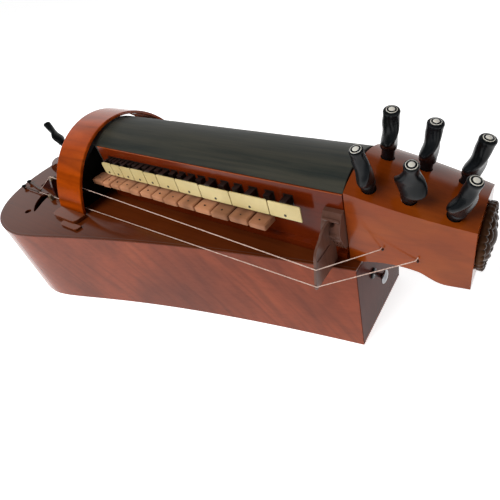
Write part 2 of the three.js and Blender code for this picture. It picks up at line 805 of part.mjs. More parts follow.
function buildMelodyString(name, side, peg) {
  const route = [
    new THREE.Vector3(TAILPIECE_X + 1, side * 4.5, 122),
    new THREE.Vector3(-349.4, side * MELODY_Y, BRIDGE_Z),
    nutPoint(side),
    headPoint(side),
    endOnPeg(peg, 139, headPoint(side)),
  ];
  add(name, stringTube(route, STRING_R), gut);
}

function buildDroneString(name, side, course, peg) {
  const route = [
    ...course.tail.map(([x, y]) => new THREE.Vector3(x, side * y, 101.2)),
    new THREE.Vector3(DRONE_BRIDGE_X - 0.4, side * course.bridge[0], course.bridge[1]),
    finPoint(side, course),
    cheekPoint(side, course),
    endOnPeg(peg, 131, cheekPoint(side, course)),
  ];
  add(name, stringTube(route, DRONE_R), gut);
}

function buildStrings() {
  buildMelodyString("melody_string_near", -1, pegs[0]);
  buildMelodyString("melody_string_far", 1, pegs[3]);
  buildDroneString("drone_string_near_1", -1, HIGH, pegs[1]);
  buildDroneString("drone_string_near_2", -1, LOW, pegs[2]);
  buildDroneString("drone_string_far_1", 1, HIGH, pegs[4]);
  buildDroneString("drone_string_far_2", 1, LOW, pegs[5]);
}

buildBody();
buildAxleFrame();
buildWheelwork();
buildCover();
buildBridges();
buildDroneBridges();
buildDroneNuts();
buildKeybox();
buildKeys();
buildPegbox();
buildStrings();

export default instrument;
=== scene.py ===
import math

import bmesh
import bpy
from mathutils import Matrix, Vector


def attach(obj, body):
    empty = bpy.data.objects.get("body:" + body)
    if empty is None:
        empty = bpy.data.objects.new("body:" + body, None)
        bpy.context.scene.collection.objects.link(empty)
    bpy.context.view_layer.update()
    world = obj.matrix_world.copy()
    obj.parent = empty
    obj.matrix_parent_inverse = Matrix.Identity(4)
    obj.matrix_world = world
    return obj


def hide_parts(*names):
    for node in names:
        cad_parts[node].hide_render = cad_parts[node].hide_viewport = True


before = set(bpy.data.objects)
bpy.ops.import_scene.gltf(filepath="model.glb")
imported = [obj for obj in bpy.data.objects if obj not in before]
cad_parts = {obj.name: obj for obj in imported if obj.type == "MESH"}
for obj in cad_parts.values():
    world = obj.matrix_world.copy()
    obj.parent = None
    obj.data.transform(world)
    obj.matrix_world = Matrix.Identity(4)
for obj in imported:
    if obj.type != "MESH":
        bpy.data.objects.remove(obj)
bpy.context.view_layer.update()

# The hurdy-gurdy's visual model. Lengths in this script are millimetres in the part's frame and are written
# to Blender in metres. X runs along the strings to the pegs, -Y is the side of the keys' buttons, +Z is up.
MM = 0.001
BODY = "body"

# ---------------------------------------------------------------- driving dimensions

BODY_HEIGHT = 98.6
PLATE = 3.0
RIB = 2.6
GAP = 0.3
TAILPIECE_X = -374.0
DRONE_BRIDGE_X = -354.0
DECK = BODY_HEIGHT + GAP
HEAD_X = 40.4
HEAD_HALF_WIDTH = 47.2
BELLY_X = -338.0
BELLY_HALF_WIDTH = 138.4
TAIL_X = -450.0
TAIL_ROUNDNESS = 0.627
EDGE = 1.1  # how much of a plate shows at the edge of the body

SCALE_LENGTH = 345.0
ACCIDENTALS = [1, 3, 6, 8, 11, 13, 15, 18, 20, 23]
NATURALS = [2, 4, 5, 7, 9, 10, 12, 14, 16, 17, 19, 21, 22]

BOX_X0, BOX_X1 = -270.0, 29.5
BOX_HALF = 36.0
BOX_TOP = 161.0
LID_ARCS = ((34.9, 13.5), (31.4, 10.5))  # half-width and rise above the walls, outside and inside
LID_END_X = -284.5

AXLE_Z = 84.0
CRANK_X = -476.0
CRANK_THROW = 60.0

COVER_X = (-321.0, -273.6)
COVER_Z = 64.7
COVER_HALF = (89.0, 115.8)
COVER_THICK = 3.5

HEAD_X0, HEAD_X1 = 31.0, 120.3
HEAD_HALF = (36.9, 29.1)  # the pegbox's half-width at each end, then its side's height and its top's rise
HEAD_SIDE_Z = (164.0, 146.0)
HEAD_RISE = (9.1, 5.6)
FIN_X = 22.0
FIN_THICK = 2.2
FIN_Y = (77.5, 72.0)  # outer edge of the drone nuts at the soundboard and at FIN_TOP
FIN_TOP = 124.6
STRING_Y = 5.0  # the melody strings, to each side of the middle
MELODY_R = 0.34
DRONE_R = 0.4
SIDES = (("near", -1), ("far", 1))
FULL_TURN = 2 * math.pi


# ---------------------------------------------------------------- meshes

def link(name, mesh):
    obj = bpy.data.objects.new(name, mesh)
    bpy.context.scene.collection.objects.link(obj)
    return obj


def mesh_from(name, parts):
    """One mesh from (vertices, faces, material index) shells, in millimetres."""
    bm = bmesh.new()
    for verts, faces, index in parts:
        made = [bm.verts.new(Vector(v) * MM) for v in verts]
        for face in faces:
            bm.faces.new([made[i] for i in face]).material_index = index
    bmesh.ops.recalc_face_normals(bm, faces=bm.faces)
    mesh = bpy.data.meshes.new(name)
    bm.to_mesh(mesh)
    bm.free()
    return mesh


def shade(obj, angle):
    """Smooth shading that stays sharp where faces meet at more than an angle in degrees."""
    mesh = obj.data
    mesh.polygons.foreach_set("use_smooth", [True] * len(mesh.polygons))
    mesh.set_sharp_from_angle(angle=math.radians(angle))


def bevel(obj, width, segments, angle):
    mod = obj.modifiers.new("Bevel", "BEVEL")
    mod.width = width * MM
    mod.segments = segments
    mod.limit_method = "ANGLE"
    mod.angle_limit = math.radians(angle)
    mod.harden_normals = True


def cut(obj, cutters):
    """Takes closed shells out of an object, for good."""
    for number, shell in enumerate(cutters):
        tool = link(f"tool_{number}", mesh_from("tool", [(*shell, 0)]))
        mod = obj.modifiers.new("Cut", "BOOLEAN")
        mod.operation = "DIFFERENCE"
        mod.solver = "EXACT"
        mod.object = tool
        bpy.context.view_layer.update()
        done = bpy.data.meshes.new_from_object(obj.evaluated_get(bpy.context.evaluated_depsgraph_get()))
        obj.modifiers.clear()
        obj.data = done
        bpy.data.objects.remove(tool)


def piece(name, shells, materials, body, replaces=(), round_edges=0.0, segments=2, angle=35.0,
          cutters=()):
    """A shown piece from one or more shells. Shells without a material index use the first material."""
    parts = [shell if len(shell) == 3 else (*shell, 0) for shell in shells]
    obj = link(name, mesh_from(name, parts))
    for material in materials:
        obj.data.materials.append(material)
    cut(obj, cutters)
    shade(obj, angle)
    if round_edges:
        bevel(obj, round_edges, segments, angle)
    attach(obj, body)
    if replaces:
        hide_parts(*replaces)


def box(x, y, z):
    verts = [(a, b, c) for c in z for b in y for a in x]
    faces = [(0, 2, 3, 1), (4, 5, 7, 6), (0, 1, 5, 4), (2, 6, 7, 3), (0, 4, 6, 2), (1, 3, 7, 5)]
    return verts, faces


AXES = {"X": lambda u, v, w: (w, u, v), "Y": lambda u, v, w: (u, w, v), "Z": lambda u, v, w: (u, v, w)}


def prism(points, axis, lo, hi):
    """A closed outline drawn across an axis and drawn out between two places on it."""
    at = AXES[axis]
    count = len(points)
    verts = [at(u, v, w) for w in (lo, hi) for u, v in points]
    sides = [(i, (i + 1) % count, (i + 1) % count + count, i + count) for i in range(count)]
    return verts, [tuple(range(count))[::-1], tuple(range(count, 2 * count)), *sides]


def mirrored(points, side):
    """An outline's points with the first number's sign turned for the side it belongs to."""
    return [(side * u, v) for u, v in points]


def band(outer, inner, axis, lo, hi):
    """An open strip between two outlines with equal numbers of points, drawn out along an axis."""
    at = AXES[axis]
    count = len(outer)
    verts = [at(u, v, w) for w in (lo, hi) for line in (outer, inner) for u, v in line]
    a, b, c, d = (corner * count for corner in range(4))
    faces = []
    for i in range(count - 1):
        j = i + 1
        faces += [(a + i, a + j, b + j, b + i), (c + i, d + i, d + j, c + j)]
        faces += [(a + i, c + i, c + j, a + j), (b + i, b + j, d + j, d + i)]
    for i in (0, count - 1):
        faces.append((a + i, b + i, d + i, c + i))
    return verts, faces


def loft(rings):
    """A closed solid through rings with equal numbers of points."""
    count = len(rings[0])
    verts = [v for ring in rings for v in ring]
    faces = []
    for k in range(len(rings) - 1):
        for i in range(count):
            j = (i + 1) % count
            faces.append((k * count + i, k * count + j, (k + 1) * count + j, (k + 1) * count + i))
    last = (len(rings) - 1) * count
    faces += [tuple(range(count))[::-1], tuple(range(last, last + count))]
    return verts, faces


def frame_of(axis):
    """Two directions square to an axis and to each other."""
    axis = Vector(axis).normalized()
    side = axis.cross(Vector((0, 0, 1)))
    if side.length < 1e-3:
        side = axis.cross(Vector((1, 0, 0)))
    side.normalize()
    return side, axis.cross(side)


def circle(centre, u, v, radius, sides):
    steps = [FULL_TURN * i / sides for i in range(sides)]
    return [centre + radius * (math.cos(a) * u + math.sin(a) * v) for a in steps]


def turned(foot, axis, profile, sides=32):
    """A turned solid on an axis: profile holds (height, radius), lowest first."""
    foot, axis = Vector(foot), Vector(axis).normalized()
    return loft([circle(foot + axis * h, *frame_of(axis), r, sides) for h, r in profile])


def tube(points, radius):
    """A round cord along points, mitred where it bends."""
    points = [Vector(p) for p in points]
    tangents = []
    for i in range(len(points)):
        before, after = points[max(i - 1, 0)], points[min(i + 1, len(points) - 1)]
        tangents.append((after - before).normalized())
    side, _ = frame_of(tangents[0])
    rings = []
    for point, tangent in zip(points, tangents):
        side = (side - tangent * side.dot(tangent)).normalized()
        rings.append(circle(point, side, tangent.cross(side), radius, 10))
    return loft(rings)


def bezier(p0, p1, p2, p3, count):
    """Points on a cubic curve, without its last one."""
    points = []
    for i in range(count):
        t = i / count
        s = 1 - t
        weights = (s**3, 3 * s * s * t, 3 * s * t * t, t**3)
        points.append(tuple(sum(w * p[k] for w, p in zip(weights, (p0, p1, p2, p3))) for k in (0, 1)))
    return points


def arc(centre, radii, start, end, count):
    angles = [start + (end - start) * i / (count - 1) for i in range(count)]
    return [(centre[0] + radii[0] * math.cos(a), centre[1] + radii[1] * math.sin(a)) for a in angles]


def oval(centre, radii, sides):
    return arc(centre, radii, 0, FULL_TURN, sides + 1)[:-1]


def spline(points, per_span):
    """A smooth curve through points of any dimension (Catmull-Rom)."""
    made = []
    last = len(points) - 1
    for i in range(last):
        p0, p1, p2, p3 = (points[min(max(k, 0), last)] for k in (i - 1, i, i + 1, i + 2))
        for step in range(per_span):
            t = step / per_span
            made.append(tuple(
                0.5 * (2 * b + (c - a) * t + (2 * a - 5 * b + 4 * c - d) * t * t
                       + (3 * b - a - 3 * c + d) * t**3)
                for a, b, c, d in zip(p0, p1, p2, p3)
            ))
    return [*made, tuple(points[-1])]


# ---------------------------------------------------------------- materials

def linear(rgb):
    """A colour given as 0-255 screen values."""
    parts = [c / 255 for c in rgb]
    return (*[p / 12.92 if p <= 0.04045 else ((p + 0.055) / 1.055) ** 2.4 for p in parts], 1.0)


class Nodes:
    """A material's node tree, with short ways to add to it."""

    def __init__(self, name):
        self.material = bpy.data.materials.new(name)
        self.material.use_nodes = True
        self.tree = self.material.node_tree
        self.shader = self.tree.nodes["Principled BSDF"]
        self.coords = self.add("ShaderNodeTexCoord").outputs["Object"]

    def add(self, kind, **settings):
        node = self.tree.nodes.new(kind)
        for key, value in settings.items():
            setattr(node, key, value)
        return node

    def wire(self, source, target):
        self.tree.links.new(source, target)

    def set(self, **values):
        for key, value in values.items():
            self.shader.inputs[key.replace("_", " ")].default_value = value

    def mapped(self, scale, rotation=(0, 0, 0)):
        """Texture space turned by an angle in degrees, then stretched: scale holds features per metre."""
        node = self.add("ShaderNodeMapping", vector_type="TEXTURE")
        node.inputs["Scale"].default_value = [1 / value for value in scale]
        node.inputs["Rotation"].default_value = [math.radians(a) for a in rotation]
        self.wire(self.coords, node.inputs["Vector"])
        return node.outputs["Vector"]

    def noise(self, vector, detail=3.0, roughness=0.55, distortion=0.0):
        node = self.add("ShaderNodeTexNoise")
        self.wire(vector, node.inputs["Vector"])
        settings = {"Scale": 1.0, "Detail": detail, "Roughness": roughness, "Distortion": distortion}
        for key, value in settings.items():
            node.inputs[key].default_value = value
        return node.outputs["Fac"]

    def ramp(self, source, stops):
        """stops holds (place, grey or colour)."""
        node = self.add("ShaderNodeValToRGB")
        ramp = node.color_ramp
        while len(ramp.elements) < len(stops):
            ramp.elements.new(0.5)
        for element, (place, value) in zip(ramp.elements, stops):
            element.position = place
            element.color = value if isinstance(value, tuple) else (value, value, value, 1.0)
        self.wire(source, node.inputs["Fac"])
        return node.outputs["Color"]

    def mix(self, factor, a, b, blend="MIX"):
        node = self.add("ShaderNodeMix", data_type="RGBA", blend_type=blend)
        for value, socket in ((factor, node.inputs[0]), (a, node.inputs[6]), (b, node.inputs[7])):
            if isinstance(value, (int, float, tuple)):
                socket.default_value = value
            else:
                self.wire(value, socket)
        return node.outputs[2]

    def colour(self, source):
        self.wire(source, self.shader.inputs["Base Color"])

    def vary(self, socket, source, low, high, source_range=(0.0, 1.0)):
        """Drives one of the shader's values between two levels."""
        node = self.add("ShaderNodeMapRange")
        for key, value in zip(("From Min", "From Max", "To Min", "To Max"), (*source_range, low, high)):
            node.inputs[key].default_value = value
        self.wire(source, node.inputs["Value"])
        self.wire(node.outputs["Result"], self.shader.inputs[socket])

    def roughness(self, source, low, high):
        self.vary("Roughness", source, low, high)

    def bump(self, source, strength, distance):
        """distance is the relief's depth in millimetres."""
        node = self.add("ShaderNodeBump")
        node.inputs["Strength"].default_value = strength
        node.inputs["Distance"].default_value = distance * MM
        self.wire(source, node.inputs["Height"])
        self.wire(node.outputs["Normal"], self.shader.inputs["Normal"])


def stretch(grain, along, across):
    """Texture scale per metre for fibres running along an axis."""
    return tuple(along if axis == grain else across for axis in "XYZ")


def wood(name, light, mid, dark, grain="X", fibre=(14, 420), flame=None, shine=0.4, grain_depth=0.35,
         rough=(0.16, 0.28), cloud=0.35, patches=0.0, shine_rise=None):
    """Varnished wood: fine fibres, slow clouding, and an optional flame figure across the grain.

    patches sets how much the tone changes from one short piece to the next along X. shine_rise holds two
    heights in metres and the gloss at each: dull where hands and cloths rub the piece, polished above."""
    n = Nodes(name)
    fibres = n.noise(n.mapped(stretch(grain, *fibre)), detail=5.0, roughness=0.65, distortion=0.15)
    clouds = n.noise(n.mapped((9, 9, 9)), detail=3.0, distortion=0.6)
    tint = n.ramp(clouds, [(0.3, linear(dark)), (0.52, linear(mid)), (0.75, linear(light))])
    base = n.mix(cloud, linear(mid), tint)
    lines = n.ramp(fibres, [(0.32, 0.62), (0.5, 0.95), (0.72, 1.12)])
    base = n.mix(grain_depth, base, lines, "MULTIPLY")
    if flame:
        rotation, scale, depth = flame
        stripes = n.noise(n.mapped(scale, rotation), detail=2.5, roughness=0.5, distortion=0.9)
        figure = n.ramp(stripes, [(0.34, 0.55), (0.5, 0.95), (0.66, 1.18)])
        base = n.mix(depth, base, figure, "MULTIPLY")
    if patches:
        spots = n.noise(n.mapped((52, 6, 6)), detail=1.0)
        tones = n.ramp(spots, [(0.36, 0.45), (0.5, 0.95), (0.64, 1.3)])
        base = n.mix(patches, base, tones, "MULTIPLY")
    n.colour(base)
    n.roughness(fibres, *rough)
    n.bump(fibres, 0.12, 0.15)
    n.set(Specular_IOR_Level=shine)
    if shine_rise:
        heights, levels = shine_rise
        place = n.add("ShaderNodeSeparateXYZ")
        n.wire(n.coords, place.inputs["Vector"])
        n.vary("Specular IOR Level", place.outputs["Z"], *levels, heights)
    return n.material


def streaked_black(name, dark, light, gloss, grain="X", wear=0.5, shine=0.5):
    """Black wood or lacquer with faint streaks along the grain and rubbed, dusty patches."""
    n = Nodes(name)
    streaks = n.noise(n.mapped(stretch(grain, 5, 110)), detail=6.0, roughness=0.7, distortion=0.2)
    smudge = n.noise(n.mapped((14, 30, 30)), detail=4.0)
    base = n.ramp(streaks, [(0.35, linear(dark)), (0.66, linear(light))])
    dusty = n.ramp(smudge, [(0.45, 1.0), (0.75, 1.35)])
    n.colour(n.mix(wear, base, dusty, "MULTIPLY"))
    n.roughness(smudge, *gloss)
    n.bump(streaks, 0.1, 0.1)
    n.set(Specular_IOR_Level=shine)
    return n.material


def bone_material(name, dull, fresh):
    """Bone: slow change from dull to fresh, with fine pores."""
    n = Nodes(name)
    pores = n.noise(n.mapped((60, 260, 60)), detail=4.0, roughness=0.6)
    tone = n.noise(n.mapped((16, 16, 16)), detail=2.0)
    base = n.ramp(tone, [(0.3, linear(dull)), (0.7, linear(fresh))])
    n.colour(n.mix(0.25, base, n.ramp(pores, [(0.35, 0.75), (0.6, 1.05)]), "MULTIPLY"))
    n.roughness(pores, 0.28, 0.45)
    n.bump(pores, 0.05, 0.05)
    n.set(Subsurface_Weight=0.08, Coat_Weight=0.1, Coat_Roughness=0.2)
    n.shader.inputs["Subsurface Radius"].default_value = (0.002, 0.0015, 0.001)
    return n.material


def metal(name, light, dark, gloss):
    """Metal with fine marks across its length."""
    n = Nodes(name)
    marks = n.noise(n.mapped((200, 30, 30)), detail=4.0, roughness=0.6)
    n.colour(n.ramp(marks, [(0.3, linear(dark)), (0.7, linear(light))]))
    n.roughness(marks, *gloss)
    n.bump(marks, 0.08, 0.05)
    n.set(Metallic=1.0)
    return n.material


def string_material(name, pale, dark, twist=900.0):
    """Twisted gut or cord: fine bands round the strand."""
    n = Nodes(name)
    bands = n.noise(n.mapped((twist, twist * 0.4, twist * 0.4)), detail=2.0)
    n.colour(n.ramp(bands, [(0.35, linear(dark)), (0.65, linear(pale))]))
    n.roughness(bands, 0.3, 0.5)
    n.bump(bands, 0.15, 0.1)
    return n.material


# Each flame holds the figure's turn in degrees, its features per metre and its strength.
SIDE = wood("side_varnish", (150, 76, 45), (135, 62, 36), (88, 38, 24),
            flame=((0, 58, 0), (14, 14, 95), 0.45), shine=0.15, cloud=0.6, rough=(0.12, 0.2))
TOP = wood("top_varnish", (112, 54, 22), (94, 41, 14), (64, 25, 7), fibre=(6, 330), grain_depth=0.45,
           shine=0.2, rough=(0.08, 0.16))
SHOE = wood("shoe_varnish", (134, 70, 32), (114, 54, 22), (78, 32, 10), shine=0.3, rough=(0.1, 0.2))
COVER = wood("cover_varnish", (196, 92, 16), (166, 66, 5), (118, 40, 2), fibre=(60, 160),
             flame=((0, 0, 0), (5, 60, 75), 0.75), rough=(0.07, 0.14),
             shine_rise=((0.140, 0.172), (0.01, 0.45)))
HEAD = wood("pegbox_varnish", (164, 80, 18), (134, 56, 9), (94, 32, 3),
            flame=((0, 30, 0), (10, 10, 45), 0.35), shine=0.3, cloud=0.8, rough=(0.09, 0.17))
HEAD_END = wood("head_plate_wood", (100, 54, 46), (80, 42, 36), (56, 29, 24), grain="Z", shine=0.03)
BOXWOOD = wood("keybox_varnish", (124, 48, 12), (102, 34, 7), (68, 18, 3), fibre=(8, 300), shine=0.2,
               rough=(0.09, 0.18))
# Painted highlight: a wood lighter than the keybox's own, for the strips along the walls' top edges.
EDGE_HIGHLIGHT = wood("wall_edge_painted_highlight", (186, 98, 44), (150, 68, 26), (110, 44, 16), fibre=(8, 300), shine=0.2)
DARK = wood("dark_wood", (122, 84, 68), (98, 65, 53), (58, 39, 31), grain="Z", shine=0.3)
DRONE_WOOD = wood("drone_bridge_wood", (88, 40, 34), (64, 27, 23), (38, 16, 13), shine=0.2)
ROSE = wood("rosette_wood", (104, 72, 46), (66, 42, 26), (28, 17, 10), shine=0.05, cloud=0.7)
PLAIN = wood("bare_wood", (176, 130, 84), (150, 106, 66), (120, 82, 48), shine=0.2, rough=(0.45, 0.65))
# Painted shade: the wheel's wood is made nearly black so that it gives the deep shade seen under the wheel
# cover.
WHEEL = wood("wheel_wood", (20, 15, 12), (13, 10, 8), (8, 6, 5), grain="Y", shine=0.1, rough=(0.6, 0.8))
BUTTON = wood("button_wood", (206, 150, 114), (184, 128, 94), (140, 94, 68), fibre=(20, 300), shine=0.15,
              rough=(0.4, 0.6), cloud=0.9, patches=0.65)
EBONY = streaked_black("ebony", (6, 8, 9), (19, 22, 25), (0.2, 0.34), grain="Z", shine=0.2)
SHANK = streaked_black("ebony_shank", (20, 13, 12), (48, 34, 30), (0.35, 0.55), grain="Y")
LACQUER = streaked_black("black_lacquer", (28, 34, 31), (60, 58, 48), (0.5, 0.68), wear=0.7)
BONE = bone_material("bone", (198, 176, 116), (216, 198, 142))
WORN_BONE = bone_material("worn_bone", (112, 94, 70), (140, 120, 92))
PALE_BONE = bone_material("pale_bone", (214, 210, 198), (232, 228, 218))
STEEL = metal("steel", (176, 178, 180), (120, 122, 124), (0.18, 0.35))
BRASS = metal("brass", (214, 172, 96), (150, 112, 56), (0.2, 0.4))
CHROME = metal("chrome", (196, 196, 198), (120, 120, 124), (0.08, 0.2))
GUT = string_material("gut", (226, 200, 186), (190, 156, 140))
CORD = string_material("tail_cord", (84, 56, 38), (44, 28, 18), 500.0)
PIN = streaked_black("pin_head", (18, 12, 9), (40, 26, 20), (0.3, 0.45))

KEPT_NODES = {
    "head_plate": HEAD_END, "axle_frame": PLAIN, "wheel": WHEEL, "crankshaft": STEEL,
    "melody_bridge": PLAIN, "melody_nut": BONE,
    "drone_bridge_near": DRONE_WOOD, "drone_bridge_far": DRONE_WOOD,
    "keybox_front_wall": BOXWOOD, "keybox_rear_wall": BOXWOOD,
}


def dress_frame():
    """CAD nodes that stay: their material, and edges rounded as a plane or file leaves them."""
    sharp = 30
    for name, material in KEPT_NODES.items():
        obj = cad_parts[name]
        obj.data.materials.clear()
        obj.data.materials.append(material)
        shade(obj, sharp)
        bevel(obj, 0.5, 2, sharp)


# ---------------------------------------------------------------- body

FLARE_HANDLE = (-224, -92.8)  # pulls the side's long hollow curve towards the middle
BELLY_HANDLE = 35.0
CURVE_POINTS = 36


def near_half():
    depth = BELLY_X - TAIL_X
    flare = bezier((HEAD_X, -HEAD_HALF_WIDTH), FLARE_HANDLE, (BELLY_X + BELLY_HANDLE, -BELLY_HALF_WIDTH),
                   (BELLY_X, -BELLY_HALF_WIDTH), CURVE_POINTS)
    tail = bezier((BELLY_X, -BELLY_HALF_WIDTH), (BELLY_X - TAIL_ROUNDNESS * depth, -BELLY_HALF_WIDTH),
                  (TAIL_X, -TAIL_ROUNDNESS * BELLY_HALF_WIDTH), (TAIL_X, 0), CURVE_POINTS)
    return [*flare, *tail, (TAIL_X, 0.0)]


def outline(inset=0.0, end_x=HEAD_X):
    """The body's outline from the near head corner round the tail to the far one, moved inwards."""
    near = near_half()
    whole = [*near, *[(x, -y) for x, y in near[-2::-1]]]
    made = []
    for i, (x, y) in enumerate(whole):
        before, after = whole[max(i - 1, 0)], whole[min(i + 1, len(whole) - 1)]
        along = Vector((after[0] - before[0], after[1] - before[1])).normalized()
        made.append((x + along.y * inset, y - along.x * inset))
    made[0] = (end_x, made[0][1])
    made[-1] = (end_x, made[-1][1])
    return made


THROUGH_TOP = (80, 110)  # heights that a cut through the soundboard runs between
WHEEL_SLOT = ((-306, -288), (-79, 79))
PURFLING_INSET, PURFLING_WIDTH = 2.4, 0.5
AXLE_HOLE_R = 6.0
BUSH_HOLE_R = 5.3


def sound_hole(side):
    """A comma-shaped slit with a round eye at its wide end."""
    slit = spline([(-380, 77), (-375.5, 71), (-368, 74), (-362, 86), (-352, 102), (-362, 97), (-372, 88),
                   (-380, 77)], 5)[:-1]
    eye = oval((-361.5, 105.5), (4.0, 3.4), 24)
    return [prism([(x, side * y) for x, y in shape], "Z", *THROUGH_TOP) for shape in (slit, eye)]


def plate_shell(z_outer, z_lip, z_inner):
    """A soundboard or back: a thin edge over the ribs and a thicker part let in between them."""
    def level(inset, z):
        return [(x, y, z) for x, y in outline(inset)]

    return loft([level(0, z_outer), level(0, z_lip), level(RIB + GAP, z_lip), level(RIB + GAP, z_inner)])


def build_body():
    edge_round = 0.4
    holes = [box(*WHEEL_SLOT, THROUGH_TOP), *sound_hole(-1), *sound_hole(1)]
    board = plate_shell(BODY_HEIGHT, BODY_HEIGHT - EDGE, BODY_HEIGHT - PLATE)
    piece("top_board", [board], [TOP], BODY, ["soundboard"], edge_round, cutters=holes)
    line = band(outline(PURFLING_INSET), outline(PURFLING_INSET + PURFLING_WIDTH), "Z",
                BODY_HEIGHT - 0.3, BODY_HEIGHT + 0.03)
    piece("purfling", [line], [DARK], BODY)
    end = HEAD_X - 0.4
    ribs = band(outline(0, end), outline(RIB, end), "Z", EDGE + 0.05, BODY_HEIGHT - EDGE - 0.05)
    hole = turned((TAIL_X - 5, 0, AXLE_Z), (1, 0, 0), [(0, AXLE_HOLE_R), (20, AXLE_HOLE_R)])
    piece("ribs", [ribs], [SIDE], BODY, ["side_ribs"], cutters=[hole])
    piece("back", [plate_shell(0, EDGE, PLATE)], [SIDE], BODY, ["back_plate"], edge_round)
    bush = turned((TAIL_X + 3, 0, AXLE_Z), (-1, 0, 0), [(0, 9), (3.4, 9), (4.2, 8.2), (4.4, 5.4)])
    bore = turned((TAIL_X + 5, 0, AXLE_Z), (-1, 0, 0), [(0, BUSH_HOLE_R), (20, BUSH_HOLE_R)])
    piece("axle_bush", [bush], [BRASS], BODY, cutters=[bore])


def build_strap_button():
    """Plated button on the flat end of the body, on a dark washer."""
    foot = (HEAD_X + 0.1, -17.5, 66.5)
    washer = turned(foot, (1, 0, 0), [(0, 5.0), (1.2, 5.0), (1.8, 4.2)], 28)
    piece("strap_washer", [washer], [EBONY], BODY)
    rows = [(0, 2.4), (2, 2.2), (5.5, 2.3), (7.2, 3.4), (8.0, 5.4), (8.6, 6.2), (9.4, 6.2), (10.2, 5.0),
            (10.8, 2.4), (11, 0.6)]
    button = turned((HEAD_X + 1.9, *foot[1:]), (1, 0, 0), spline(rows, 3))
    piece("strap_button", [button], [CHROME], BODY)


# ---------------------------------------------------------------- keybox and lid

def arc_radius(half, rise):
    """The radius of an arc from its half-width and its rise."""
    return (half**2 + rise**2) / (2 * rise)


def lid_arc(half, rise):
    radius = arc_radius(half, rise)
    reach = math.asin(half / radius)
    centre = (0, BOX_TOP + GAP + rise - radius)
    return arc(centre, (radius, radius), math.pi / 2 - reach, math.pi / 2 + reach, 33)


HINGE_X = (-215, -30)
HINGE_HALF = 9.0
HINGE_PIN_R = 0.8


def build_lid():
    outer, inner = (lid_arc(half, rise) for half, rise in LID_ARCS)
    shell = band(outer, inner, "X", BOX_X0, BOX_X1)
    piece("lid_shell", [shell], [LACQUER], "lid", ["lid"], 0.5)
    # Painted highlight: a strip of lighter wood along the top of each keybox wall stands in for the light
    # that the wall's edge catches.
    for name, side in SIDES:
        y = sorted((side * 34.95, side * 36.05))
        strip = box((BOX_X0, BOX_X1), y, (BOX_TOP - 0.5, BOX_TOP + 0.28))
        piece(f"wall_edge_{name}", [strip], [EDGE_HIGHLIGHT], BODY, (), 0.25)
    end_band = band(outer, inner, "X", LID_END_X, BOX_X0 - GAP)
    end_x = (BOX_X0 - GAP - 3, BOX_X0 - GAP)
    posts = [box(end_x, sorted((side * 31.2, side * 35.8)), (DECK, BOX_TOP + 0.5)) for _, side in SIDES]
    sill = box(end_x, (-31.15, 31.15), (DECK, 110))
    piece("lid_end_shell", [end_band, *posts, sill], [LACQUER], BODY, ["lid_end"], 0.4)
    for number, x in enumerate(HINGE_X):
        foot = (x - HINGE_HALF, BOX_HALF + 0.9, BOX_TOP - 0.6)
        knuckle = turned(foot, (1, 0, 0), [(0, HINGE_PIN_R), (2 * HINGE_HALF, HINGE_PIN_R)], 16)
        leaf = box((x - HINGE_HALF, x + HINGE_HALF), (BOX_HALF + 0.02, BOX_HALF + 0.6),
                   (BOX_TOP - 9, BOX_TOP - 1.0))
        piece(f"lid_hinge_{number}", [leaf, knuckle], [PIN], BODY, (), 0.15)


def key_x(semitone):
    """Where a key stops the strings, by the fret rule."""
    return -SCALE_LENGTH * (1 - 2 ** (-semitone / 12))


def shank_half(semitone):
    """Half a shank's width: the shanks narrow where the keys crowd towards the wheel."""
    return min(6.5, 0.7 * (key_x(semitone) - key_x(semitone + 1))) / 2


SHANK_Z = (142.0, 150.0)
RISER_Y = (-41.5, -39.5)
PLATE_Y = (-46.1, -44.9)
PLATE_Z = (134.0, 149.3)
BUTTON_Y = (-56.2, -40.2)
BUTTON_Z = (122.3, 129.6)
BUTTON_EDGES = [-34, -53, -75, -96, -117, -139, -159, -177, -195, -211, -229, -245, -258, -278]
TANGENT_HALF = 1.8
TANGENT_THICK = 1.6
TANGENT_TOP = 164.0
TANGENT_REACH = 3.9  # from a string to the tangent that stops it: the key's travel, a gap and the string
PLATE_END_X = -258.5  # end of the last plate, beside the wheel cover
TOUCH = 0.02  # keeps a piece's shells from sharing faces


def shank_shells(semitone, front_y):
    x, half = key_x(semitone), shank_half(semitone)
    shells = [box((x - half, x + half), (front_y, BOX_HALF + 2.5), SHANK_Z)]
    for string_y in (-STRING_Y, STRING_Y):
        face = string_y - TANGENT_REACH
        shells.append(box((x - TANGENT_HALF, x + TANGENT_HALF), (face - TANGENT_THICK, face),
                          (SHANK_Z[1] + TOUCH, TANGENT_TOP)))
    return shells


def rounded(x, z, radii):
    """A rectangle's outline with its own radius at each corner, from the lower left round."""
    corners = [(x[0], z[0], math.pi), (x[1], z[0], 1.5 * math.pi),
               (x[1], z[1], 0.0), (x[0], z[1], 0.5 * math.pi)]
    points = []
    for (cx, cz, start), radius in zip(corners, radii):
        inwards = (1 if cx == x[0] else -1, 1 if cz == z[0] else -1)
        centre = (cx + inwards[0] * radius, cz + inwards[1] * radius)
        points += arc(centre, (radius, radius), start, start + math.pi / 2, 5)
    return points


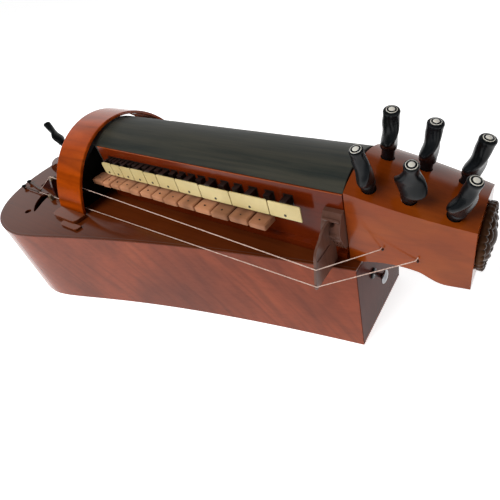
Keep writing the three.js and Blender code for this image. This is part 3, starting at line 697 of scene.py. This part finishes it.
def build_accidental(semitone, i):
    """A key with a bone plate that reaches half-way to its neighbours. Each plate sags differently."""
    name = f"key_{semitone:02d}"
    piece(f"{name}_shank", shank_shells(semitone, PLATE_Y[1] + TOUCH), [SHANK], name, [name], 0.3)

    def middle(a, b):
        return (key_x(ACCIDENTALS[a]) + key_x(ACCIDENTALS[b])) / 2 + 3

    last = i == len(ACCIDENTALS) - 1
    right = -2.2 if i == 0 else middle(i - 1, i)
    left = PLATE_END_X if last else middle(i, i + 1)
    x = (left + 0.45, right - 0.45)
    radii = (5.0 if last else 0.9, 0.9, 1.4, 4.0 if last else 1.4)
    sag = 0.3 * math.sin(2.3 * i)
    plate = prism(rounded(x, (PLATE_Z[0], PLATE_Z[1] + sag - 0.3), radii), "Y", *PLATE_Y)
    pin_foot = ((x[0] + x[1]) / 2, PLATE_Y[0] + 0.5, PLATE_Z[0] + 3.4)
    pin = turned(pin_foot, (0, -1, 0), [(0, 1.3), (0.8, 1.3), (0.95, 0.9)], 14)
    piece(f"{name}_plate", [plate, (*pin, 1)], [BONE, PIN], name, (), 0.3)


def build_natural(semitone, i):
    """A key whose shank steps down and sideways to a wooden button. Each button is worn differently."""
    name = f"key_{semitone:02d}"
    x, half = key_x(semitone), shank_half(semitone)
    left, right = BUTTON_EDGES[i + 1] + 0.4, BUTTON_EDGES[i] - 0.4
    web_z = 135.4 if semitone == 22 else BUTTON_Z[1] + 0.6
    foot_x = min(max(x, left + half), right - half)
    shells = shank_shells(semitone, RISER_Y[0])
    web_top = web_z + 3.6
    shells.append(box((foot_x - half, foot_x + half), RISER_Y, (BUTTON_Z[1] + TOUCH, web_z)))
    shells.append(box((min(x, foot_x) - half, max(x, foot_x) + half), RISER_Y, (web_z, web_top)))
    shells.append(box((x - half, x + half), RISER_Y, (web_top + TOUCH, SHANK_Z[0] - TOUCH)))
    piece(f"{name}_shank", shells, [SHANK], name, [name], 0.3)
    worn = 0.5 * math.sin(2.1 * i + 0.4)
    front = (BUTTON_Y[0] + 0.5 + worn, BUTTON_Y[1])
    plan = rounded((left + 0.35, right - 0.35), front, (1.6, 1.6, 0.4, 0.4))
    top, low = BUTTON_Z[1] + 0.3 * math.sin(1.7 * i) - 0.3, BUTTON_Z[0]
    inner = rounded((left + 1.5, right - 1.5), (front[0] + 1.3, front[1] - 0.2), (1.2, 1.2, 0.3, 0.3))
    levels = ((inner, low), (plan, low + 1.6), (plan, top - 1.0), (inner, top))
    button = loft([[(u, v, z) for u, v in shape] for shape, z in levels])
    pin_foot = ((left + right) / 2, -50.0, BUTTON_Z[1] - 0.6)
    pin = turned(pin_foot, (0, 0, 1), [(0, 0.9), (0.7, 0.9), (0.85, 0.5)], 12)
    piece(f"{name}_button", [button, (*pin, 1)], [BUTTON, PIN], name, (), 0.9, 3)


def build_slot_shade():
    """Dark strips round the slots that the keys slide in: painted shade standing for the shadowed openings
    of the slots.
    """
    inner, outer = 0.3, 1.5
    y = (-BOX_HALF - 0.2, -BOX_HALF - TOUCH)
    low, high = SHANK_Z[0] - 1.0, SHANK_Z[1] + 0.4
    shade_strips = []
    for semitone in (*ACCIDENTALS, *NATURALS):
        x, half = key_x(semitone), shank_half(semitone)
        shade_strips += [box((x - half - outer, x - half - inner), y, (low, high)),
                 box((x + half + inner, x + half + outer), y, (low, high)),
                 box((x - half - outer, x + half + outer), y, (high + TOUCH, high + 1.2))]
    # Painted shade: dark strips where the slots' openings lie in shadow.
    piece("key_slot_painted_shade", shade_strips, [PIN], BODY)


def build_keys():
    build_slot_shade()
    for i, semitone in enumerate(ACCIDENTALS):
        build_accidental(semitone, i)
    for i, semitone in enumerate(NATURALS):
        build_natural(semitone, i)


# ---------------------------------------------------------------- wheel cover

def build_cover():
    def ellipse(inset):
        radii = (COVER_HALF[0] - inset, COVER_HALF[1] - inset)
        start = math.asin((DECK + 0.2 - COVER_Z) / radii[1])
        return arc((0, COVER_Z), radii, start, math.pi - start, 73)

    shell = band(ellipse(0), ellipse(COVER_THICK), "X", *COVER_X)
    piece("cover_band", [shell], [COVER], "wheel_cover", ["wheel_cover"], 0.9, 3)


# ---------------------------------------------------------------- crank

def build_crank():
    pin_z = AXLE_Z - CRANK_THROW
    profile = [(0, 3.4), (0.02, 7.0), (1.2, 8), (4, 8), (6, 6.6), (9, 6.2), (14, 7.6), (22, 9.6), (30, 11),
               (36, 11.5), (42, 11.1), (48, 9.6), (53, 7), (56, 5), (57, 3.4)]
    handle = turned((CRANK_X - GAP, 0, pin_z), (-1, 0, 0), spline(profile, 3))
    piece("handle_knob", [handle], [EBONY], "crank_handle", ["crank_handle"])
    rows = [(0, 8), (2, 8), (3.4, 6.6), (6.5, 6.2), (8.5, 4.5), (9, 1)]
    nut = turned((CRANK_X - 0.2, 0, AXLE_Z), (-1, 0, 0), rows, 24)
    piece("crank_nut", [nut], [BRASS], "wheel")


# ---------------------------------------------------------------- tailpiece and tirant

TIRANT = ((-388, -14.8, 126.6), (-0.67, 0.1, 0.74))  # where the peg leaves the tailpiece, and its lean
TAILPIECE_HALF = 28.0


def build_tailpiece():
    """A block that falls to the soundboard in one round curve, with a peg in its top."""
    fall = spline([(TAILPIECE_X, 128), (-388, 126.4), (-400, 123.2), (-412, 118.8), (-425, 111.5),
                   (-435, 103.4), (-438.5, DECK)], 5)
    shell = prism([(TAILPIECE_X, DECK), *fall], "Y", -TAILPIECE_HALF, TAILPIECE_HALF)
    foot, lean = Vector(TIRANT[0]), Vector(TIRANT[1])
    hole = turned(foot - lean * 14, lean, [(0, 4.1), (34, 4.1)], 20)
    piece("tail_block", [shell], [TOP], BODY, ["tailpiece"], 1.2, 3, 50, [hole])


# A shoe's step and its lower toe: their X, Y, top and corner radius.
SHOE_LIPS = [((-316, -268), (85.2, 99.8), 103.0, 9), ((-289, -256), (99.3, 107.0), 101.0, 6)]


def build_cover_feet():
    """Low stepped shoes that the ends of the wheel cover stand beside."""
    for name, side in SIDES:
        lips = []
        for x, y, z, radius in SHOE_LIPS:
            plan = rounded(x, y, (0.5, 0.5, radius * 0.6, radius))
            lips.append(prism([(u, side * v) for u, v in plan], "Z", DECK, z))
        piece(f"cover_shoe_{name}", lips, [SHOE], BODY, [f"cover_foot_{name}"], 1.4, 3)


# Outlines across the strings of a bridge's bone parts, each with its end along X from the bridge's face.
SADDLES = [
    ([(60.6, 121.2), (62.7, 123.5), (67.9, 123.5), (68.8, 120.6)], 4.25),
    ([(71.6, DECK), (72.2, 100.4), (79.1, 100.4), (80.1, DECK)], 4.6),
    ([(76.4, 100.5), (76.6, 106), (79.6, 105.4), (80.1, 100.5)], 4.6),
]


def build_bridge_saddles():
    """Bone inlays where the drone strings cross their bridges."""
    for name, side in SIDES:
        shells = [prism(mirrored(shape, side), "X", DRONE_BRIDGE_X - 0.25, DRONE_BRIDGE_X + reach)
                  for shape, reach in SADDLES]
        piece(f"drone_saddle_{name}", shells, [WORN_BONE], BODY, (), 0.3)


# ---------------------------------------------------------------- pegs and pegbox

def lerp(pair, t):
    return pair[0] + (pair[1] - pair[0]) * t


def head_half(x):
    """The pegbox's half-width, slightly swollen in the middle."""
    t = (x - HEAD_X0) / (HEAD_X1 - HEAD_X0)
    return lerp(HEAD_HALF, t) + 2 * math.sin(math.pi * t)


def head_top(x, y):
    """The height of the pegbox's arched top."""
    t = (x - HEAD_X0) / (HEAD_X1 - HEAD_X0)
    rise = lerp(HEAD_RISE, t)
    radius = arc_radius(head_half(x), rise)
    return lerp(HEAD_SIDE_Z, t) + rise - radius + math.sqrt(radius**2 - y**2)


def head_low(x):
    """The height of the pegbox's underside: a low arch past the body, then a smooth fall to the chin."""
    arch_rise, arch_length, fall_x, fall_length, chin_z = 5, 55, 84, 22, 93
    arch = DECK + arch_rise * math.sin(math.pi * max(x - HEAD_X, 0) / arch_length)
    t = min(max((x - fall_x) / fall_length, 0), 1)
    return arch + (chin_z - arch) * t * t * (3 - 2 * t)


# A peg's head over its collar: height, half-width, half-thickness and twist.
PEG_ROWS = [
    (0, 5.2, 5.2, 0), (0.3, 6.2, 6.2, 0), (2.3, 6.3, 6.3, 0), (2.8, 6.6, 6.2, 0), (4.5, 7.8, 6.1, 0),
    (7.5, 10.6, 5.9, 0.05), (11, 12.3, 5.6, 0.15), (14.5, 11.6, 5.2, 0.35), (18, 9.6, 5.0, 0.6),
    (22, 7.6, 5.2, 0.85), (26, 6.4, 5.6, 1.05), (30, 6.0, 5.9, 1.2), (32.4, 6.2, 6.1, 1.2),
    (33.5, 5.8, 5.8, 1.2), (34, 5.0, 5.0, 1.2),
]
PEG_TOP = 34


def peg_rings(foot, lean, rows, size):
    """Oval rings up a peg, twisted about its axis."""
    sides = 32
    axis = Vector(lean).normalized()
    turn = Vector((0, 0, 1)).rotation_difference(axis)
    rings = []
    for h, a, b, twist in rows:
        ring = []
        for i in range(sides):
            angle = FULL_TURN * i / sides
            u, v = a * math.cos(angle) * size, b * math.sin(angle) * size
            x = u * math.cos(twist) - v * math.sin(twist)
            y = u * math.sin(twist) + v * math.cos(twist)
            ring.append(Vector(foot) + turn @ Vector((x, y, h)))
        rings.append(ring)
    return rings


def build_peg(name, foot, lean, turn, shank, neck, size=1.0, crown=1.0):
    """crown narrows the top of the head. A peg made smaller than full size has no bone inlay."""
    head = []
    for h, a, b, twist in spline(PEG_ROWS, 3):
        narrow = 1 - (1 - crown) * min(max((h - 20) / 8, 0), 1)
        head.append((h + neck, a * narrow, b * narrow, twist + turn))
    shaft = [(-shank, 4.2, 4.2, turn), (neck - 0.2, 5.0, 5.0, turn)]
    shell = loft(peg_rings(foot, lean, [*shaft, *head], size))
    axis = Vector(lean).normalized()
    top = Vector(foot) + axis * (PEG_TOP + neck)
    ring = turned(top - axis * 0.6, axis, [(0, 3.85), (0.9, 3.85), (1.0, 3.75)], 28)
    dark = turned(top - axis * 0.5, axis, [(0, 3.45), (0.95, 3.45), (1.05, 3.3)], 28)
    dot = turned(top - axis * 0.4, axis, [(0, 2.2), (1.0, 2.2), (1.35, 1.8), (1.5, 0.7)], 24)
    inlays = [] if size < 1 else [(*ring, 1), (*dark, 0), (*dot, 1)]
    piece(f"{name}_wood", [(*shell, 0), *inlays], [EBONY, PALE_BONE], name, [name], 0, 2, 40)


# Name, place on the pegbox's top, lean, turn about its own axis, length in the wood, bare neck.
PEGS = [
    ("peg_near_1", (46.5, -26.8), (-0.047, -0.282, 0.958), -1.35, 42, 5),
    ("peg_near_2", (74.6, -23.6), (0.138, -0.315, 0.939), -0.5, 42, 4),
    ("peg_near_3", (104.6, -22.6), (0.305, -0.219, 0.927), 0.9, 36, 4),
    ("peg_far_1", (46.7, 10.7), (0.167, -0.196, 0.966), -1.45, 42, 11),
    ("peg_far_2", (74.3, 14.0), (0.183, -0.13, 0.974), 1.35, 42, 8),
    ("peg_far_3", (103.5, 14.0), (0.275, -0.108, 0.955), 1.1, 36, 7),
]


def peg_at(index, height):
    _, (x, y), lean, *_ = PEGS[index]
    return Vector((x, y, head_top(x, y))) + Vector(lean).normalized() * height


# The two drone courses: tail stud, turn of the cord, bridge notch, height at the nut, hole in the pegbox's
# cheek and a pin by it.
HIGH = {"stud": (-429, 65), "turn": (-390, 71.5), "bridge": (65.4, 124.4), "fin_z": 118,
        "cheek": (57, 37.5, 118), "pin": (59.5, 38.6, 119.5)}
LOW = {"stud": (-424, 75), "turn": (-388, 75.2), "bridge": (75.5, 101.6), "fin_z": 103,
       "cheek": (83, 35.6, 114), "pin": (85, 37.2, 115)}

# The pegbox's hollow, open below, and a shallower one above it towards the keybox.
HEAD_HOLLOWS = [((37, 112.3), (-24, 24), (80, 136)), ((37.5, 80), (-23.5, 23.5), (130, 148))]
CHEEK_HOLE_R = 1.1
PEG_HOLE_R = 5.5
MELODY_HOLE_R = 2.2


def drilled(foot, axis, radius, length, sides):
    return turned(foot, axis, [(0, radius), (length, radius)], sides)


def build_pegbox():
    stations = [lerp((HEAD_X0, HEAD_X1), i / 44) for i in range(45)]
    rings = []
    for x in stations:
        half, low = head_half(x), head_low(x)
        across = [half * math.sin(math.pi / 2 * (1 - i / 16)) for i in range(33)]
        rings.append([(x, -half, low), (x, half, low), *[(x, y, head_top(x, y)) for y in across]])
    cutters = [box(*hollow) for hollow in HEAD_HOLLOWS]
    for _, side in SIDES:
        for x, y, z in (HIGH["cheek"], LOW["cheek"]):
            cutters.append(drilled((x - 3, side * (y + 6), z), (3, -side * 6, 0), CHEEK_HOLE_R, 30, 16))
    for index, (_, _, lean, _, shank, _) in enumerate(PEGS):
        cutters.append(drilled(peg_at(index, -shank - 1), lean, PEG_HOLE_R, shank + 20, 24))
    for _, side in SIDES:
        cutters.append(drilled((20, side * 5.4, 152.3), (35.6, side * 1.4, -14.5), MELODY_HOLE_R, 30, 12))
    piece("pegbox_block", [loft(rings)], [HEAD], BODY, ["pegbox"], 1.1, 3, 40, cutters)
    for index, (name, _, lean, turn, shank, neck) in enumerate(PEGS):
        build_peg(name, peg_at(index, 0), lean, turn, shank, neck, crown=0.82 if "near" in name else 0.96)
    build_peg("tirant_peg", *TIRANT, 1.97, 12, 14, 0.75)
    for number, (x, y, z) in enumerate((HIGH["pin"], LOW["pin"])):
        for name, side in SIDES:
            head = turned((x, side * (y - 1.5), z), (0, side, 0), [(0, 0.7), (1.6, 0.7), (2.0, 0.4)], 12)
            piece(f"string_pin_{name}_{number}", [head], [PIN], BODY)


def build_drone_nuts():
    """Carved brackets: a scrolled block against the keybox and a plain fin out past the edge of the body."""
    block = [(36.3, 112), (40, 112), (43, 118), (45.5, 124), (47.4, 128), (47.8, 132), (46.6, 136.5),
             (44.6, 141), (43.2, 144), (40.6, 147.2), (36.3, 148)]
    fin = [(41, DECK), (76.6, DECK), (77.3, 100.2), (FIN_Y[1], FIN_TOP), (70.8, 128.4), (68, 132.3),
           (64.5, 134.6), (61, 136.8), (58, 139.6), (55, 141.6), (50, 142.5), (41, 142.5)]
    seam = [(49, 123.2), (70, 122.9), (70, 121.9), (49, 122.2)]
    curls = [(46.6, 130.6, 2.2), (44.2, 142.2, 1.5), (45.4, 125.6, 1.7)]
    for name, side in SIDES:
        body = prism(mirrored(block, side), "X", 14, 30.4)
        eye = drilled((23.4, side * 50, 139.2), (0, -side, 0), 2.1, 12, 24)
        groove = drilled((13, side * 47.6, 137.2), (1, 0, 0), 0.9, 18, 16)
        piece(f"drone_nut_{name}_block", [body], [DARK], BODY, [f"drone_nut_{name}"], 0.8, 3, 40,
              [eye, groove])
        rolls = []
        for y, z, r in curls:
            roll = [(0, r * 0.7), (0.8, r), (13.6, r), (14.4, r * 0.7)]
            rolls.append(turned((15, side * y, z), (1, 0, 0), roll, 24))
        plate = prism(mirrored(fin, side), "X", FIN_X - FIN_THICK, FIN_X)
        crease = prism(mirrored(seam, side), "X", FIN_X - 0.6, FIN_X + 1)
        piece(f"drone_nut_{name}_fin", [plate], [DARK], BODY, (), 0.7, 3, 40, [crease])
        piece(f"drone_nut_{name}_curls", rolls, [DARK], BODY)


ROSE_Z = 121.0


def build_rosette():
    """A carved rose: a toothed rim, two rings of petals and a boss, seen nearly edge-on."""
    rows = [(25.4, 0.0), (25.9, 0.8), (25.9, 3.6), (25.2, 4.4), (23.4, 5.0), (21.2, 4.0), (19.2, 3.2),
            (17.2, 5.6), (14.6, 6.8), (12.2, 5.6), (10.6, 4.8), (8.4, 6.6), (5.6, 8.0), (3, 8.8), (0.8, 9.0)]
    sides, rim_teeth, petal_count = 256, 32, 10
    rings = []
    for radius, height in spline(rows, 2):
        rim = min(max(radius - 19, 0) / 4, 1)
        petals = max(1 - abs(radius - 14.6) / 4.5, 0)
        ring = []
        for i in range(sides):
            angle = FULL_TURN * i / sides
            teeth = abs(math.cos(rim_teeth / 2 * angle)) ** 0.7
            leaves = abs(math.cos(petal_count / 2 * angle + 0.4)) ** 0.5
            r = radius * (1 - 0.012 * rim * (1 - teeth))
            lift = 1.6 * rim * (teeth - 0.75) * min(height / 3, 1) + 2.0 * petals * (leaves - 0.7)
            x = HEAD_X1 + GAP + (min(max(height + lift, 0.4), 9.0) if height > 0.1 else 0.0)
            ring.append((x, r * math.cos(angle), ROSE_Z + r * math.sin(angle)))
        rings.append(ring)
    piece("rose", [loft(rings)], [ROSE], BODY, ["rosette"], 0, 2, 60)


# ---------------------------------------------------------------- strings

def end_on_peg(index, z, start):
    """Where a string from a start reaches its peg's shank at a height."""
    lean = Vector(PEGS[index][2]).normalized()
    foot = peg_at(index, 0)
    centre = foot + lean * ((z - foot.z) / lean.z)
    away = Vector((start[0] - centre.x, start[1] - centre.y, 0)).normalized()
    return centre + away * 6.8


STUD_ROWS = [(0, 1.6), (2.5, 1.6), (3.0, 2.6), (4.4, 2.8), (5.2, 1.6)]
KNOT_ROWS = [(0, 0.7), (0.8, 1.3), (2.4, 1.3), (3.2, 0.6)]
CORD_R = 0.75


def build_melody_string(name, side, peg):
    head = (HEAD_X0 + 7.5, side * 6.4, 144)
    route = [(TAILPIECE_X + 1, side * 4.5, 122), (-349.4, side * STRING_Y, 161.3),
             (2.9, side * STRING_Y, 158.5), head, end_on_peg(peg, 139, head)]
    piece(f"{name}_gut", [tube(route, MELODY_R)], [GUT], BODY, [name])


def build_drone_string(name, side, course, peg):
    stud, turn = ((x, side * y, 101.2) for x, y in (course["stud"], course["turn"]))
    bridge = (DRONE_BRIDGE_X - 0.4, side * course["bridge"][0], course["bridge"][1])
    fin_z = course["fin_z"]
    fin = (FIN_X + GAP, side * (lerp(FIN_Y, (fin_z - DECK) / (FIN_TOP - DECK)) + 0.5), fin_z)
    cheek = (course["cheek"][0], side * course["cheek"][1], course["cheek"][2])
    route = [turn, bridge, fin, cheek, end_on_peg(peg, 131, cheek)]
    piece(f"{name}_gut", [tube(route, DRONE_R)], [GUT], BODY, [name])
    knot = turned((turn[0] - 1.6, turn[1], turn[2]), (1, 0, 0), KNOT_ROWS, 14)
    piece(f"{name}_cord", [tube([stud, turn], CORD_R), knot], [CORD], BODY)
    base = turned((stud[0] - 1, stud[1], DECK - 0.2), (0, 0, 1), STUD_ROWS, 16)
    piece(f"{name}_stud", [base], [EBONY], BODY)


def build_strings():
    build_melody_string("melody_string_near", -1, 0)
    build_melody_string("melody_string_far", 1, 3)
    build_drone_string("drone_string_near_1", -1, HIGH, 1)
    build_drone_string("drone_string_near_2", -1, LOW, 2)
    build_drone_string("drone_string_far_1", 1, HIGH, 4)
    build_drone_string("drone_string_far_2", 1, LOW, 5)


# ---------------------------------------------------------------- camera, lights and floor

CAMERA_PLACE = (146.0, -240.6, 330.1)
CAMERA_ANGLES = (39.0, -35.4, -12.4)  # yaw, pitch and roll in degrees


def make_camera():
    yaw, pitch, roll = (math.radians(angle) for angle in CAMERA_ANGLES)
    level_part = math.cos(pitch)
    forward = Vector((-math.sin(yaw) * level_part, math.cos(yaw) * level_part, math.sin(pitch)))
    level = Vector((math.cos(yaw), math.sin(yaw), 0))
    up = level.cross(forward)
    right = level * math.cos(roll) + up * math.sin(roll)
    up = up * math.cos(roll) - level * math.sin(roll)
    data = bpy.data.cameras.new("camera")
    data.sensor_width = 36
    data.lens = 28.68
    data.shift_x, data.shift_y = -0.078, -0.095
    data.clip_start = 0.01
    camera = bpy.data.objects.new("camera", data)
    bpy.context.scene.collection.objects.link(camera)
    turn = Matrix((right, up, -forward)).transposed().to_4x4()
    camera.matrix_world = Matrix.Translation(Vector(CAMERA_PLACE) * MM) @ turn
    bpy.context.scene.camera = camera


def area_light(name, place, target, size, power, reflected):
    """A round lamp in metres and watts. reflected says whether glossy surfaces mirror it."""
    data = bpy.data.lights.new(name, "AREA")
    data.shape = "DISK"
    data.size = size
    data.energy = power
    light = bpy.data.objects.new(name, data)
    light.visible_glossy = reflected
    bpy.context.scene.collection.objects.link(light)
    light.location = place
    light.rotation_mode = "QUATERNION"
    light.rotation_quaternion = (Vector(target) - Vector(place)).to_track_quat("-Z", "Y")


LIT_LEVEL, DARK_LEVEL = 0.95, 0.16  # the surroundings' brightness behind the tail, low down, and elsewhere
LAMP_TARGET = (-0.15, 0, 0.1)
FLOOR_R = 12000.0
BACKDROP_R = 11900.0
BACKDROP_HEIGHT = 9000.0
WHITE = (1.0, 1.0, 1.0, 1.0)


def make_stage():
    bpy.context.scene.view_settings.view_transform = "Standard"
    world = bpy.data.worlds.new("studio")
    bpy.context.scene.world = world
    world.use_nodes = True
    tree = world.node_tree
    background = tree.nodes["Background"]
    background.inputs["Color"].default_value = WHITE
    towards = tree.nodes.new("ShaderNodeTexCoord").outputs["Generated"]

    def facing(direction, low, high):
        """1 where a direction of view leans well towards the one given, 0 where it does not."""
        lean = tree.nodes.new("ShaderNodeVectorMath")
        lean.operation = "DOT_PRODUCT"
        lean.inputs[1].default_value = direction
        tree.links.new(towards, lean.inputs[0])
        step = tree.nodes.new("ShaderNodeMapRange")
        step.inputs["From Min"].default_value = low
        step.inputs["From Max"].default_value = high
        tree.links.new(lean.outputs["Value"], step.inputs["Value"])
        return step.outputs["Result"]

    both = tree.nodes.new("ShaderNodeMath")
    both.operation = "MULTIPLY"
    tree.links.new(facing((-0.45, 0.9, 0), 0.15, 0.45), both.inputs[0])
    tree.links.new(facing((0, 0, -1), -0.56, -0.44), both.inputs[1])
    strength = tree.nodes.new("ShaderNodeMapRange")
    strength.inputs["To Min"].default_value = DARK_LEVEL
    strength.inputs["To Max"].default_value = LIT_LEVEL
    tree.links.new(both.outputs["Value"], strength.inputs["Value"])
    tree.links.new(strength.outputs["Result"], background.inputs["Strength"])
    area_light("fill_light", (-0.55, -1.2, 1.65), LAMP_TARGET, 1.4, 30, reflected=False)
    area_light("softbox", (-0.5, 1.2, 2.2), LAMP_TARGET, 0.9, 3, reflected=True)

    slab = prism(oval((0, 0), (FLOOR_R, FLOOR_R), 64), "Z", -2.5, -0.5)
    floor = link("floor", mesh_from("floor", [(*slab, 0)]))
    n = Nodes("floor_paper")
    grit = n.noise(n.mapped((40, 40, 40)), detail=2.0)
    n.colour(n.ramp(grit, [(0.0, 0.9), (1.0, 0.93)]))
    n.set(Roughness=0.9, Emission_Color=WHITE, Emission_Strength=0.75)
    floor.data.materials.append(n.material)

    # A pale wall round the floor. Only the camera sees it, so it lights nothing and shows in no reflection.
    wall = prism(oval((0, 0), (BACKDROP_R, BACKDROP_R), 64), "Z", 0, BACKDROP_HEIGHT)
    backdrop = link("backdrop", mesh_from("backdrop", [(wall[0], wall[1][2:], 0)]))
    backdrop.visible_diffuse = False
    backdrop.visible_glossy = False
    backdrop.visible_transmission = False
    backdrop.visible_volume_scatter = False
    backdrop.visible_shadow = False
    n = Nodes("backdrop_paper")
    n.set(Roughness=1.0, Emission_Color=WHITE, Emission_Strength=0.97)
    backdrop.data.materials.append(n.material)


make_camera()
make_stage()
dress_frame()
build_body()
build_lid()
build_keys()
build_cover()
build_crank()
build_tailpiece()
build_cover_feet()
build_bridge_saddles()
build_drone_nuts()
build_strap_button()
build_pegbox()
build_rosette()
build_strings()
